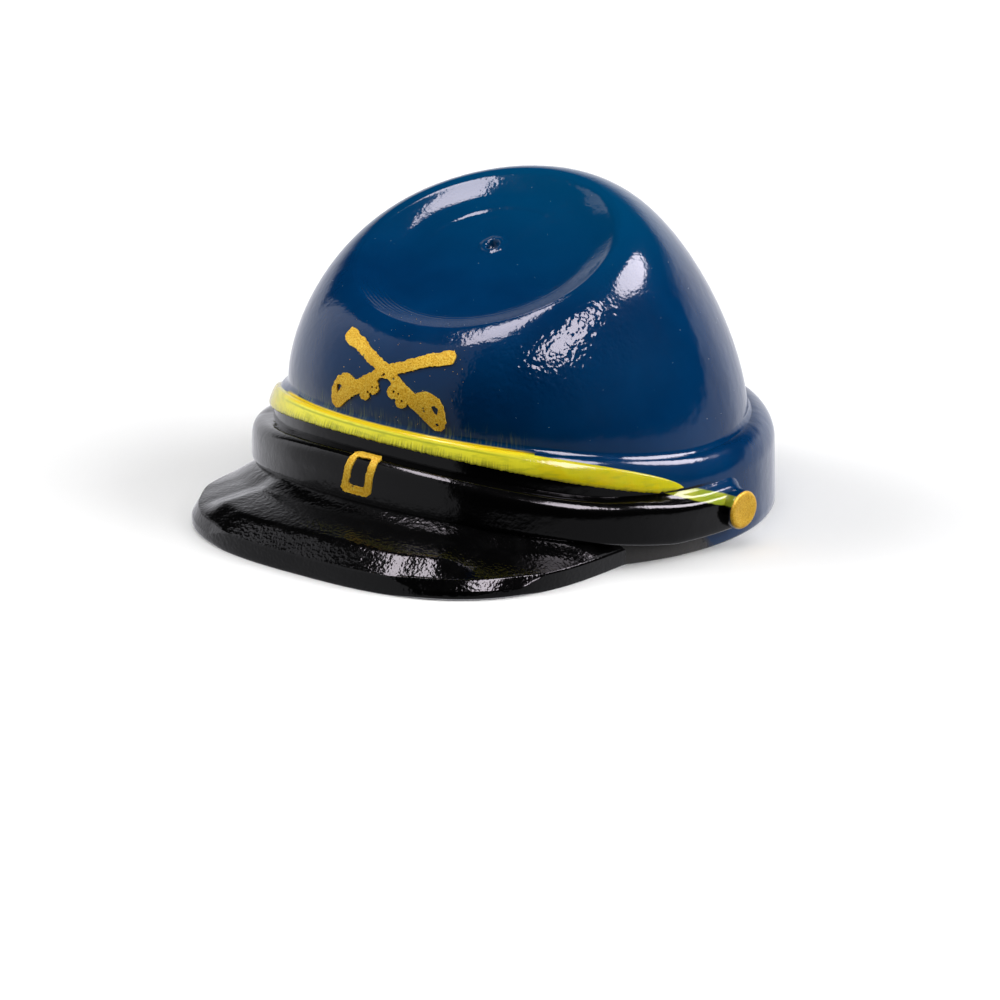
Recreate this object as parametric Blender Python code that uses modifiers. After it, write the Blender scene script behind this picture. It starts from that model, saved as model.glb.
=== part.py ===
"""A toy kepi cap: leaning crown, ledge band, peak, chin strap, cord, buttons, buckle and badge.

Metres, +Z up. The front faces -Y. The cap rests on z = 0, on the band's rim and the peak's edge,
and the origin is the middle of its footprint. Angles round the band start at the front, so that
0 is the middle of the peak, 90 the left side at +X and 180 the back.
"""
from math import asin, atan2, cos, pi, radians, sin, sqrt

import bmesh
import bpy
from mathutils import Vector

MM = 0.001

# Fits and walls
SEAM = 0.04 * MM              # clearance between two pieces that meet
BORE_RADIUS = 5.2 * MM        # hole in the band, open below

# Band: a ring with a ledge at its top, higher in front than behind
BAND_RADIUS = 6.41 * MM       # at the rim
BAND_NECK_RADIUS = 6.34 * MM  # where the ledge starts to round over
LEDGE_ROUNDING = 0.8 * MM     # height of the rounded part
LEDGE_BACK_HEIGHT = 2.35 * MM
LEDGE_FRONT_HEIGHT = 3.22 * MM
SEAT_RADIUS = 5.81 * MM       # circle where crown and ledge meet
SEAT_FORWARD = 0.27 * MM      # that circle stands this much further forward than the band

# Crown: each upright line is a curve from the ledge to the crest of a tipped, dished top.
# A pull is the length along which the curve keeps to its direction at that end.
CROWN_WALL = 0.95 * MM
CREST_RADIUS = 3.26 * MM
CREST_Y = -1.79 * MM
CREST_Z = 6.81 * MM
CREST_TILT = radians(21.2)    # the top is higher behind
SIDE_LEAN = 0.01              # outward lean of the side at the ledge
SIDE_LEAN_FRONT = 0.15        # added in front, taken off behind
SIDE_LEAN_LONG = 0.06         # added in front and behind, taken off at the sides
LOW_PULL = 1.6 * MM
LOW_PULL_FRONT = -1.15 * MM
HIGH_PULL = 1.36 * MM
HIGH_PULL_LONG = 0.2 * MM
INNER_PULL = 0.75             # share of those pulls on the inner wall
ROOF_INSET = 0.38 * MM        # how much smaller the roof's circle is than the crest
DISH_DEPTH = 0.34 * MM

# Peak: a rounded outline in plan, with its lower edge on the floor
PEAK_REACH = 9.1 * MM         # from the band's axis to the front edge
PEAK_CENTRE_Y = -3.56 * MM    # where the outline's sides start
PEAK_HALF_WIDTH = 5.58 * MM
PEAK_SQUARENESS = 2.8         # 2 would be an ellipse
PEAK_ROOT_ANGLE = radians(58)  # half the arc along which it meets the band
PEAK_SWEEP = radians(88)      # half the fan of sections round the outline's centre
PEAK_EDGE_FRONT = 0.53 * MM   # edge thickness at the front, at the flanks and at the corners
PEAK_EDGE_FLANK = 0.14 * MM
PEAK_EDGE_CORNER = 0.34 * MM
PEAK_EDGE_ROUNDING = 0.22 * MM
PEAK_ROOT_THICKNESS = 0.75 * MM
PEAK_CAMBER = 0.1 * MM

# Chin strap: a rounded bar across the front, up over the peak and down to the buttons
STRAP_RADIUS = 6.88 * MM
STRAP_END_RADIUS = 6.72 * MM
STRAP_END_ANGLE = radians(95.5)
STRAP_BOTTOM_SIDE = 0.45 * MM
STRAP_BOTTOM_FRONT = 1.27 * MM
STRAP_TOP_SIDE = 1.74 * MM
STRAP_TOP_FRONT = 2.47 * MM
STRAP_END_ROUNDING = radians(5.5)
STRAP_END_PINCH = 0.4         # share of its height that each corner of the end is cut back
STRAP_FLANK_START = radians(50)  # from here to the end its radius falls off
STRAP_FLANK_LENGTH = radians(35)
STRAP_FLANK_ROUNDING = 0.6    # its upper edge rounds less there than in front

# Cord: the yellow stripe on the ledge
CORD_THICKNESS = 0.12 * MM
CORD_END_ANGLE = radians(74)
CORD_BOTTOM_FRONT = 2.82 * MM
CORD_TOP_FRONT = 3.2 * MM

# Side buttons, buckle and badge
BUTTON_RADIUS = 0.48 * MM
BUTTON_HEIGHT = 0.22 * MM
BUTTON_ANGLE = radians(89.5)
BUTTON_Z = 0.96 * MM
BUCKLE_WIDTH = 0.92 * MM
BUCKLE_HEIGHT = 1.08 * MM
BUCKLE_RAISE = 0.12 * MM      # above the middle of the strap's face
BUCKLE_BAR = 0.21 * MM
BUCKLE_THICKNESS = 0.09 * MM
BADGE_THICKNESS = 0.08 * MM
BADGE_CENTRE_X = 0.2 * MM     # printed a little off the middle
BADGE_CENTRE_Z = 4.6 * MM

# Mesh steps
ROUND_STEPS = 60
STRAP_STEPS = 44
CORD_STEPS = 36
PEAK_STEPS = 36

# Moves the band's axis back, so that the origin is the middle of the footprint
CAP_SHIFT_Y = (PEAK_REACH - BAND_RADIUS) / 2


def clear_scene():
    for item in list(bpy.data.objects):
        bpy.data.objects.remove(item, do_unlink=True)


def material(name, colour, roughness, metallic=0.0):
    made = bpy.data.materials.new(name)
    made.use_nodes = True
    shader = made.node_tree.nodes["Principled BSDF"]
    shader.inputs["Base Color"].default_value = (*colour, 1.0)
    shader.inputs["Roughness"].default_value = roughness
    shader.inputs["Metallic"].default_value = metallic
    return made


def mix(first, last, share):
    return first + (last - first) * share


def fade(angle, rate, power):
    """1 at the front, falling to 0 where rate * angle reaches a quarter turn."""
    turned = min(abs(angle) * rate, pi / 2)
    return max(cos(turned), 0.0) ** power


def polar(radius, angle, height):
    """A point round the band's axis; angle 0 is the front."""
    return Vector((radius * sin(angle), -radius * cos(angle), height))


# ---------------------------------------------------------------- heights round the band

def ledge_height(angle):
    return mix(LEDGE_BACK_HEIGHT, LEDGE_FRONT_HEIGHT, fade(angle, 1.0, 1.5))


def seat_radius(angle):
    """Distance from the band's axis to the circle where crown and ledge meet."""
    sideways = SEAT_FORWARD * sin(angle)
    return SEAT_FORWARD * cos(angle) + sqrt(SEAT_RADIUS ** 2 - sideways ** 2)


def strap_bottom(angle):
    return mix(STRAP_BOTTOM_SIDE, STRAP_BOTTOM_FRONT, fade(angle, 1.25, 1.15))


def strap_top(angle):
    return mix(STRAP_TOP_SIDE, STRAP_TOP_FRONT, fade(angle, 1.6, 1.3))


def cord_bottom(angle):
    return mix(STRAP_TOP_SIDE, CORD_BOTTOM_FRONT, fade(angle, 1.32, 1.1)) + SEAM


def cord_top(angle):
    return mix(STRAP_TOP_SIDE, CORD_TOP_FRONT, fade(angle, 1.17, 0.65))


def band_radius(angle, height):
    """The band's outer radius: a slight draft, then the ledge's rounding."""
    rounding_start = ledge_height(angle) - LEDGE_ROUNDING
    if height <= rounding_start:
        return mix(BAND_RADIUS, BAND_NECK_RADIUS, height / rounding_start)
    share = min((height - rounding_start) / LEDGE_ROUNDING, 1.0)
    return mix(BAND_NECK_RADIUS, seat_radius(angle), share ** 2.2)


def band_offset(angle, height, distance):
    """Radius and height of a point that lies off the band's outer side by a distance."""
    probe = 0.02 * MM
    slope = (band_radius(angle, height + probe) - band_radius(angle, height - probe)) / (2 * probe)
    length = sqrt(1 + slope * slope)
    return band_radius(angle, height) + distance / length, height - distance * slope / length


# ---------------------------------------------------------------- the crown's form

def seat_point(turn, inset):
    """A point of the crown's lower edge; a turn is an angle round the crown's own axis."""
    x = (SEAT_RADIUS - inset) * sin(turn)
    y = -SEAT_FORWARD - (SEAT_RADIUS - inset) * cos(turn)
    return Vector((x, y, ledge_height(atan2(x, -y)) + SEAM))


def tipped_point(radius, turn, rise):
    """A point in the tipped top's plane, or above it by a rise."""
    ahead = radius * cos(turn)
    return Vector((radius * sin(turn),
                   CREST_Y - rise * sin(CREST_TILT) - ahead * cos(CREST_TILT),
                   CREST_Z + rise * cos(CREST_TILT) - ahead * sin(CREST_TILT)))


def crown_point(turn, share, inset=0.0):
    """A point of the crown's side: share 0 on the ledge, share 1 on the crest round the dish."""
    lean = SIDE_LEAN + SIDE_LEAN_FRONT * cos(turn) + SIDE_LEAN_LONG * cos(2 * turn)
    low_pull = LOW_PULL + LOW_PULL_FRONT * cos(turn)
    high_pull = HIGH_PULL + HIGH_PULL_LONG * cos(2 * turn)
    crest_radius, rise = CREST_RADIUS, 0.0
    if inset:
        crest_radius, rise = CREST_RADIUS - ROOF_INSET, -(DISH_DEPTH + inset)
        low_pull *= INNER_PULL
        high_pull *= INNER_PULL
    low = seat_point(turn, inset)
    high = tipped_point(crest_radius, turn, rise)
    after_low = low + Vector((lean * sin(turn), -lean * cos(turn), 1.0)) * low_pull
    before_high = tipped_point(crest_radius + high_pull, turn, rise)
    rest = 1 - share
    return (low * rest ** 3 + after_low * (3 * share * rest ** 2)
            + before_high * (3 * share ** 2 * rest) + high * share ** 3)


def crown_front(x, height):
    """The point of the crown's front at a given x and height, by halving the search."""
    turn = asin(x / SEAT_RADIUS)
    for _ in range(4):
        low, high = 0.0, 1.0
        for _ in range(22):
            middle = (low + high) / 2
            point = crown_point(turn, middle)
            if point.z < height:
                low = middle
            else:
                high = middle
        turn += (x - point.x) / SEAT_RADIUS
    return point


def crown_ring(share, inset=0.0):
    return [crown_point(2 * pi * index / ROUND_STEPS, share, inset) for index in range(ROUND_STEPS)]


def tipped_ring(radius, rise):
    return [tipped_point(radius, 2 * pi * index / ROUND_STEPS, rise) for index in range(ROUND_STEPS)]


# ---------------------------------------------------------------- mesh helpers

def loft(name, sections, ring=False):
    """One closed solid through closed sections; its ends are capped, or meet if it is a ring."""
    mesh = bpy.data.meshes.new(name)
    build = bmesh.new()
    rows = [[build.verts.new(point) for point in section] for section in sections]
    count = len(rows[0])
    pairs = list(zip(rows, rows[1:]))
    if ring:
        pairs.append((rows[-1], rows[0]))
    for first, second in pairs:
        for index in range(count):
            after = (index + 1) % count
            build.faces.new((first[index], first[after], second[after], second[index]))
    if not ring:
        build.faces.new(rows[0])
        build.faces.new(rows[-1])
    bmesh.ops.recalc_face_normals(build, faces=build.faces)
    build.to_mesh(mesh)
    build.free()
    return mesh


def add_piece(name, mesh, finish, sharp_angle=40):
    mesh.materials.clear()
    mesh.materials.append(finish)
    mesh.shade_smooth()
    mesh.set_sharp_from_angle(angle=radians(sharp_angle))
    piece = bpy.data.objects.new(name, mesh)
    piece.parent = cap_axis
    pieces.objects.link(piece)


def flat_plate(name, outlines, thickness):
    """A flat plate in the XY plane from closed outlines, the first outside and the others holes."""
    drawing = bpy.data.curves.new(name + "_outline", "CURVE")
    drawing.dimensions = "2D"
    drawing.fill_mode = "BOTH"
    drawing.extrude = thickness / 2
    for outline in outlines:
        spline = drawing.splines.new("POLY")
        spline.points.add(len(outline) - 1)
        for point, (x, y) in zip(spline.points, outline):
            point.co = (x, y, 0.0, 1.0)
        spline.use_cyclic_u = True
    holder = bpy.data.objects.new(name + "_outline", drawing)
    bpy.context.scene.collection.objects.link(holder)
    evaluated = holder.evaluated_get(bpy.context.evaluated_depsgraph_get())
    mesh = bpy.data.meshes.new_from_object(evaluated)
    mesh.name = name
    bpy.data.objects.remove(holder, do_unlink=True)
    bpy.data.curves.remove(drawing)
    return mesh


def wrap(mesh, place, grid, thickness):
    """Cuts a flat plate along a grid, then moves each point to place(x, y, height over the surface)."""
    build = bmesh.new()
    build.from_mesh(mesh)
    bmesh.ops.remove_doubles(build, verts=build.verts, dist=0.001 * MM)
    for axis in (Vector((1, 0, 0)), Vector((0, 1, 0))):
        reach = max(abs(vert.co.dot(axis)) for vert in build.verts)
        steps = int(reach / grid)
        for step in range(-steps, steps + 1):
            everything = build.verts[:] + build.edges[:] + build.faces[:]
            bmesh.ops.bisect_plane(build, geom=everything, dist=0.005 * MM,
                                   plane_co=axis * step * grid, plane_no=axis)
    for vert in build.verts:
        vert.co = place(vert.co.x, vert.co.y, vert.co.z + thickness / 2 + SEAM)
    bmesh.ops.triangulate(build, faces=build.faces)
    bmesh.ops.recalc_face_normals(build, faces=build.faces)
    build.to_mesh(mesh)
    build.free()
    return mesh


# ---------------------------------------------------------------- pieces

def make_crown():
    # share of the crest's radius, share of the dish's depth
    dish_rows = ((0.15, 1.0), (0.65, 1.0), (0.72, 0.93), (0.81, 0.7), (0.9, 0.36), (0.96, 0.1))
    sections = [tipped_ring(CREST_RADIUS * share, -DISH_DEPTH * sunk) for share, sunk in dish_rows]
    outer_shares = (1.0, 0.93, 0.86, 0.78, 0.7, 0.61, 0.51, 0.4, 0.28, 0.14, 0.0)
    sections += [crown_ring(share) for share in outer_shares]
    sections += [crown_ring(share, CROWN_WALL) for share in (0.0, 0.2, 0.4, 0.6, 0.75, 0.88, 1.0)]
    sections.append(tipped_ring(CREST_RADIUS * 0.25, -DISH_DEPTH - CROWN_WALL))
    add_piece("crown", loft("crown", sections), blue_gloss, 60)


def band_section(angle):
    top = ledge_height(angle)
    heights = [0.0, top * 0.33, top - LEDGE_ROUNDING]
    heights += [top - LEDGE_ROUNDING * share for share in (0.6, 0.35, 0.15, 0.0)]
    outside = [polar(band_radius(angle, height), angle, height) for height in heights]
    inside = [polar(BORE_RADIUS, angle, top), polar(BORE_RADIUS, angle, top / 2), polar(BORE_RADIUS, angle, 0)]
    return outside + inside


def make_band():
    sections = [band_section(2 * pi * index / ROUND_STEPS - pi) for index in range(ROUND_STEPS)]
    add_piece("band", loft("band", sections, ring=True), blue_gloss)


def strap_profile(angle):
    """Outer side of the strap, from its lower edge to its upper one: radius and height."""
    bottom, top = strap_bottom(angle), strap_top(angle)
    beyond = max(abs(angle) - (STRAP_END_ANGLE - STRAP_END_ROUNDING), 0.0) / STRAP_END_ROUNDING
    pinch = (1 - sqrt(max(1 - beyond * beyond, 0.0))) * STRAP_END_PINCH * (top - bottom)
    bottom, top = bottom + pinch, top - pinch
    flank = min(max((abs(angle) - STRAP_FLANK_START) / STRAP_FLANK_LENGTH, 0.0), 1.0)
    radius = mix(STRAP_RADIUS, STRAP_END_RADIUS, flank * flank * (3 - 2 * flank))
    rounding = mix(1.0, STRAP_FLANK_ROUNDING, flank)
    # millimetres that the surface lies back, share of the height
    rows = ((0.13, 0.0), (0.04, 0.08), (0.0, 0.38), (0.04, 0.62), (0.12, 0.8), (0.24, 0.93), (0.4, 1.0))
    return [(radius - inset * rounding * MM, mix(bottom, top, share)) for inset, share in rows]


def strap_section(angle):
    profile = strap_profile(angle)
    outside = [polar(radius, angle, height) for radius, height in profile]
    low, high = profile[0][1], profile[-1][1]
    backs = [mix(high, low, share) for share in (0.0, 0.5, 1.0)]
    inside = [polar(band_radius(angle, height) + SEAM, angle, height) for height in backs]
    return outside + inside


def make_chin_strap():
    angles = [mix(-STRAP_END_ANGLE, STRAP_END_ANGLE, step / STRAP_STEPS) for step in range(STRAP_STEPS + 1)]
    add_piece("chin_strap", loft("chin_strap", [strap_section(angle) for angle in angles]), black_gloss)


def cord_section(angle):
    low, high = cord_bottom(angle), min(cord_top(angle), ledge_height(angle)) - SEAM
    inside = [band_offset(angle, mix(low, high, share), SEAM) for share in (0.0, 0.35, 0.7, 1.0)]
    # share of the height, share of the thickness
    rows = ((1.0, 0.5), (0.85, 0.95), (0.5, 1.0), (0.15, 0.95), (0.0, 0.5))
    outside = [band_offset(angle, mix(low, high, share), SEAM + CORD_THICKNESS * rise) for share, rise in rows]
    return [polar(radius, angle, height) for radius, height in inside + outside]


def make_hat_cord():
    angles = [mix(-CORD_END_ANGLE, CORD_END_ANGLE, step / CORD_STEPS) for step in range(CORD_STEPS + 1)]
    add_piece("hat_cord", loft("hat_cord", [cord_section(angle) for angle in angles]), yellow_paint)


def peak_outline(swing):
    """A point of the peak's edge in plan, at an angle from its outline's centre."""
    along = PEAK_REACH + PEAK_CENTRE_Y
    power = PEAK_SQUARENESS
    across_share = (abs(sin(swing)) / PEAK_HALF_WIDTH) ** power
    along_share = (abs(cos(swing)) / along) ** power
    reach = (across_share + along_share) ** (-1 / power)
    return Vector((reach * sin(swing), PEAK_CENTRE_Y - reach * cos(swing), 0.0))


def peak_section(share):
    """One upright section of the peak, from where it meets the band to its edge."""
    root_angle, swing = share * PEAK_ROOT_ANGLE, share * PEAK_SWEEP
    edge = peak_outline(swing)
    thickness = mix(PEAK_EDGE_FLANK, PEAK_EDGE_FRONT, cos(swing) ** 2)
    thickness += PEAK_EDGE_CORNER * (swing / (pi / 2)) ** 4
    root_top = strap_bottom(root_angle) - SEAM
    root_bottom = max(root_top - PEAK_ROOT_THICKNESS, 0.0)
    root = polar(band_radius(root_angle, root_top) + SEAM, root_angle, 0.0)
    outward = edge - root
    length = outward.length
    nose = min(PEAK_EDGE_ROUNDING, 0.4 * length) / length
    camber = PEAK_CAMBER * min(length / MM, 1)
    # share of the way out, height
    rows = [(0.0, root_bottom), (0.0, root_top)]
    for along in (0.25, 0.5, 0.75):
        rows.append((along * (1 - nose), mix(root_top, thickness, along) + camber * 4 * along * (1 - along)))
    rows += [(1 - nose, thickness), (1 - nose * 0.35, thickness * 0.9), (1.0, thickness * 0.6)]
    rows += [(1.0, thickness * 0.15), (1 - nose * 0.3, 0.0), ((1 - nose) * 0.5, root_bottom * 0.45)]
    return [root + outward * along + Vector((0, 0, height)) for along, height in rows]


def make_peak():
    shares = [mix(-1, 1, step / PEAK_STEPS) for step in range(PEAK_STEPS + 1)]
    add_piece("peak", loft("peak", [peak_section(share) for share in shares]), black_gloss, 50)


def make_side_button(name, side):
    """A turned boss with a rounded edge, pointing out from the strap's end; side is 1 or -1."""
    # share of the radius, share of the height
    profile = ((0.0, 1.0), (0.62, 1.0), (0.9, 0.86), (1.0, 0.55), (1.0, 0.0), (0.0, 0.0))
    mesh = bpy.data.meshes.new(name + "_profile")
    points = [(radius * BUTTON_RADIUS, 0.0, height * BUTTON_HEIGHT) for radius, height in profile]
    mesh.from_pydata(points, [(index, index + 1) for index in range(len(points) - 1)], [])
    mesh.materials.append(gold_ink)
    button = bpy.data.objects.new(name, mesh)
    turn = button.modifiers.new("Turn", "SCREW")
    turn.steps = 20
    turn.render_steps = 20
    turn.use_merge_vertices = True
    turn.merge_threshold = 0.001 * MM
    turn.use_smooth_shade = True
    angle = side * BUTTON_ANGLE
    button.location = polar(STRAP_END_RADIUS + SEAM, angle, BUTTON_Z)
    button.rotation_euler = (pi / 2, 0.0, angle)
    button.parent = cap_axis
    pieces.objects.link(button)


def cut_corner_frame(half_width, half_height, corner):
    """Outline of a rectangle with cut corners, from the lower right, anticlockwise."""
    outline = []
    for x_sign, y_sign in ((1, -1), (1, 1), (-1, 1), (-1, -1)):
        first = (x_sign * (half_width - corner), y_sign * half_height)
        second = (x_sign * half_width, y_sign * (half_height - corner))
        outline += [first, second] if x_sign * y_sign < 0 else [second, first]
    return outline


def strap_place(x, y, over):
    """Lays a point on the strap's front: x along it, y up across it, over its surface."""
    angle = x / STRAP_RADIUS
    profile = strap_profile(angle)
    lengths = [0.0]
    for (r0, z0), (r1, z1) in zip(profile, profile[1:]):
        lengths.append(lengths[-1] + sqrt((r1 - r0) ** 2 + (z1 - z0) ** 2))
    wanted = lengths[-1] / 2 + BUCKLE_RAISE + y
    for index in range(len(profile) - 1):
        if wanted <= lengths[index + 1] or index == len(profile) - 2:
            break
    (r0, z0), (r1, z1) = profile[index], profile[index + 1]
    span = lengths[index + 1] - lengths[index]
    share = (wanted - lengths[index]) / span
    normal_r, normal_z = (z1 - z0) / span, -(r1 - r0) / span
    return polar(mix(r0, r1, share) + normal_r * over, angle, mix(z0, z1, share) + normal_z * over)


def make_strap_buckle():
    half_width, half_height = BUCKLE_WIDTH / 2, BUCKLE_HEIGHT / 2
    outer = cut_corner_frame(half_width, half_height, 0.07 * MM)
    inner = cut_corner_frame(half_width - BUCKLE_BAR, half_height - BUCKLE_BAR, 0.03 * MM)
    plate = flat_plate("strap_buckle", [outer, inner], BUCKLE_THICKNESS)
    mesh = wrap(plate, strap_place, 0.19 * MM, BUCKLE_THICKNESS)
    add_piece("strap_buckle", mesh, gold_ink, 60)


def ring_outline(centre, radius, count):
    """A closed circle in short straight steps."""
    angles = [2 * pi * index / count for index in range(count)]
    return [(centre[0] + radius * cos(angle), centre[1] + radius * sin(angle)) for angle in angles]


def sabre_outlines():
    """Two crossed sabres, points up and hilts down, from the right half's corners in millimetres."""
    blade = [(0.0, 0.13), (0.46, 0.29), (0.92, 0.43), (1.2, 0.56), (1.42, 0.63), (1.57, 0.57),
             (1.65, 0.4), (1.52, 0.27), (1.2, 0.22), (0.78, 0.13), (0.38, -0.04)]
    grip = [(0.62, -0.22), (0.84, -0.38), (0.98, -0.42), (1.1, -0.36)]
    guard = [(1.28, -0.33), (1.48, -0.41), (1.63, -0.57), (1.7, -0.8), (1.71, -1.04), (1.64, -1.21),
             (1.49, -1.28), (1.34, -1.22), (1.14, -1.04), (0.93, -0.88), (0.78, -0.78)]
    knuckles = [(0.66, -0.84), (0.5, -0.84), (0.4, -0.72), (0.3, -0.66), (0.17, -0.57), (0.14, -0.43),
                (0.21, -0.31), (0.1, -0.22)]
    half = blade + grip + guard + knuckles
    mirrored = [(-x, y) for x, y in reversed(half) if x > 0]
    holes = [ring_outline((side * 1.44, -0.77), 0.1, 6) for side in (1, -1)]
    return [[(x * MM, y * MM) for x, y in outline] for outline in (half + mirrored, *holes)]


def badge_place(x, y, over):
    """Lays a point of the badge on the crown's front."""
    across_x, height = BADGE_CENTRE_X + x, BADGE_CENTRE_Z + y
    step = 0.02 * MM
    point = crown_front(across_x, height)
    across = crown_front(across_x + step, height) - crown_front(across_x - step, height)
    up = crown_front(across_x, height + step) - crown_front(across_x, height - step)
    return point + across.cross(up).normalized() * over


def make_crossed_sabres():
    plate = flat_plate("crossed_sabres", sabre_outlines(), BADGE_THICKNESS)
    add_piece("crossed_sabres", wrap(plate, badge_place, 0.4 * MM, BADGE_THICKNESS), gold_ink, 60)


clear_scene()
pieces = bpy.data.collections.new("kepi_cap")
bpy.context.scene.collection.children.link(pieces)

blue_gloss = material("blue_gloss", (0.004, 0.045, 0.13), 0.18)
black_gloss = material("black_gloss", (0.006, 0.006, 0.007), 0.15)
yellow_paint = material("yellow_paint", (0.55, 0.58, 0.03), 0.3)
gold_ink = material("gold_ink", (0.6, 0.36, 0.06), 0.4, 0.6)

cap_axis = bpy.data.objects.new("cap_axis", None)
cap_axis.location = (0.0, CAP_SHIFT_Y, 0.0)
pieces.objects.link(cap_axis)

make_crown()
make_band()
make_peak()
make_chin_strap()
make_hat_cord()
for button_name, button_side in (("side_button_right", -1), ("side_button_left", 1)):
    make_side_button(button_name, button_side)
make_strap_buckle()
make_crossed_sabres()
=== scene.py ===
"""Dresses the toy kepi cap: fine paint-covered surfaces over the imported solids, then the studio.

Metres, +Z up, the front faces -Y. Angles round the band start at the front, and +X is at 90 degrees.
The heights and curves round the cap are those of the solids.
"""

from math import atan, atan2, cos, pi, radians, sin, sqrt, tan
from types import SimpleNamespace

import bmesh
import bpy
import numpy as np
from mathutils import Matrix, Vector, noise
from mathutils.bvhtree import BVHTree


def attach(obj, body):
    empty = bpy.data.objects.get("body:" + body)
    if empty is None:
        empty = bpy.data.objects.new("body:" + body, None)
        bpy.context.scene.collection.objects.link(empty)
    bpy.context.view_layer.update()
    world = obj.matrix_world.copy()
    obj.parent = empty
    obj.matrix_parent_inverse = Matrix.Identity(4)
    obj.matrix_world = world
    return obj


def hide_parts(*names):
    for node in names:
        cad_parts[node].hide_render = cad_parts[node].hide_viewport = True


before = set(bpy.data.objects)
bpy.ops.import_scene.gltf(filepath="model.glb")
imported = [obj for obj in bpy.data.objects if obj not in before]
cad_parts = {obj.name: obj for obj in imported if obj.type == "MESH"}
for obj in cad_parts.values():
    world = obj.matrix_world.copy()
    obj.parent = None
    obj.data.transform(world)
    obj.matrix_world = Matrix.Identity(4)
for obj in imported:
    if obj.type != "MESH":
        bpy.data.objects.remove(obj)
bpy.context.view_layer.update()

MM = 0.001
AXIS_Y = 1.345 * MM           # the band's axis
TUCK = 0.02 * MM              # how far a piece sinks into the one that carries it
SEAM = 0.04 * MM              # the gap between two neighbouring solids
MERGED = 0.0005 * MM          # points nearer than this are one
UP = Vector((0, 0, 1))

# Band and ledge
BORE_RADIUS = 5.2 * MM
BAND_RADIUS = 6.41 * MM
BAND_NECK_RADIUS = 6.34 * MM
LEDGE_ROUNDING = 0.8 * MM
LEDGE_BACK_HEIGHT = 2.35 * MM
LEDGE_FRONT_HEIGHT = 3.22 * MM
SEAT_FORWARD = 0.27 * MM

# Crown: the named sizes are the inputs of its node tree
CROWN = SimpleNamespace(
    seat_radius=5.81 * MM,
    crest_radius=3.26 * MM,
    crest_tilt=radians(21.2),
    wall=0.95 * MM,
    dish_depth=0.34 * MM,
)
CREST_Y = -1.79 * MM
CREST_Z = 6.81 * MM
ROOF_INSET = 0.38 * MM
INNER_PULL = 0.75
RIM_SHARE = 0.955             # where the crown's side ends, just outside the dish's edge
DISH_SHIFT = 0.033            # how far the dish's edge lies off centre, as a share of its radius
DISH_SHIFT_TURN = radians(37)
GATE_ACROSS = -0.16 * MM      # the moulding gate's mark in the dish
GATE_AHEAD = -0.43 * MM
GATE_DEPTH = 0.2 * MM
GATE_REACH = 0.7 * MM
FOOT_FLARE = 0.1 * MM         # the crown's foot widens onto the ledge in a small fillet
FOOT_FLARE_HEIGHT = 0.15 * MM
TURNED_STEPS = 240            # points round the crown

# Peak
PEAK_REACH = 9.1 * MM
PEAK_CENTRE_Y = -3.56 * MM
PEAK_HALF_WIDTH = 5.58 * MM
PEAK_SQUARENESS = 2.8
PEAK_ROOT_ANGLE = radians(61)
PEAK_SWEEP = radians(95)
PEAK_EDGE_FRONT = 0.5 * MM
PEAK_EDGE_FLANK = 0.43 * MM
PEAK_ROOT_THICKNESS = 0.75 * MM
PEAK_FILLET = 0.19 * MM       # how far the peak's top curves up under the strap
PEAK_FILLET_START = 0.35 * MM
PEAK_FILLET_LENGTH = 0.75 * MM

# Chin strap and stripe: the named sizes are the inputs of their node trees
STRAP = SimpleNamespace(
    radius=6.88 * MM,
    end_radius=6.72 * MM,
    end_angle=radians(95.5),
    end_rounding=radians(5.5),
)
STRAP_BOTTOM_SIDE = 0.45 * MM
STRAP_BOTTOM_FRONT = 1.27 * MM
STRAP_TOP_SIDE = 1.81 * MM
STRAP_TOP_FRONT = 2.54 * MM
STRAP_END_PINCH = 0.4
STRAP_FLANK_START = radians(50)
STRAP_FLANK_LENGTH = radians(35)
STRAP_FLANK_ROUNDING = 0.6
# The strap's upright section from its lower inner corner: the share of the way round it, and there the
# share of the strap's height and the inset from its outermost radius in millimetres
STRAP_SECTION = ((0, 0, 0.16), (0.08, 0, 0.12), (0.16, 0.04, 0.03), (0.26, 0.18, 0), (0.4, 0.48, 0),
                 (0.5, 0.66, 0.01), (0.58, 0.785, 0.04), (0.65, 0.87, 0.1), (0.71, 0.925, 0.18),
                 (0.77, 0.958, 0.28), (0.83, 0.972, 0.39), (0.89, 0.99, 0.47), (0.94, 1.05, 0.5), (1, 0, 0.5))
STRIPE = SimpleNamespace(thickness=0.13 * MM, end_angle=radians(76), ragged_edge=0.03 * MM)
STRIPE_SIDE = 1.74 * MM
STRIPE_BOTTOM_FRONT = 2.84 * MM
STRIPE_TOP_FRONT = 3.2 * MM   # up the ledge's rounding, at its top in front

# Side buttons, buckle and badge
BUTTON_RADIUS = 0.49 * MM
BUTTON_HEIGHT = 0.22 * MM
BUTTON_ANGLE = radians(89.5)
BUTTON_Z = 0.96 * MM
BUTTON_STRETCH = 1.13         # the button is a little longer than it is high
BUCKLE_WIDTH = 0.92 * MM
BUCKLE_HEIGHT = 1.17 * MM
BUCKLE_RAISE = 0.18 * MM
BUCKLE_BAR = 0.21 * MM
INK_THICKNESS = 0.045 * MM
BADGE_X = 0.2 * MM
BADGE_Z = 4.6 * MM

# The photograph's view
VIEW_AZIMUTH = radians(36.838)
VIEW_ELEVATION = radians(17.399)
VIEW_ROLL = radians(1.365)
VIEW_DISTANCE = 0.23
VIEW_FOCUS = 9108.0           # focal length in pixels of a 1000-pixel image
VIEW_TARGET = Vector((0.0, AXIS_Y, 3 * MM))
VIEW_TARGET_PIXEL = (525.417, 375.900)
VIEW_SHIFT = (1.788, -0.623)  # in pixels: the roll turns the target a little off its pixel


# ---------------- node trees from expressions

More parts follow.
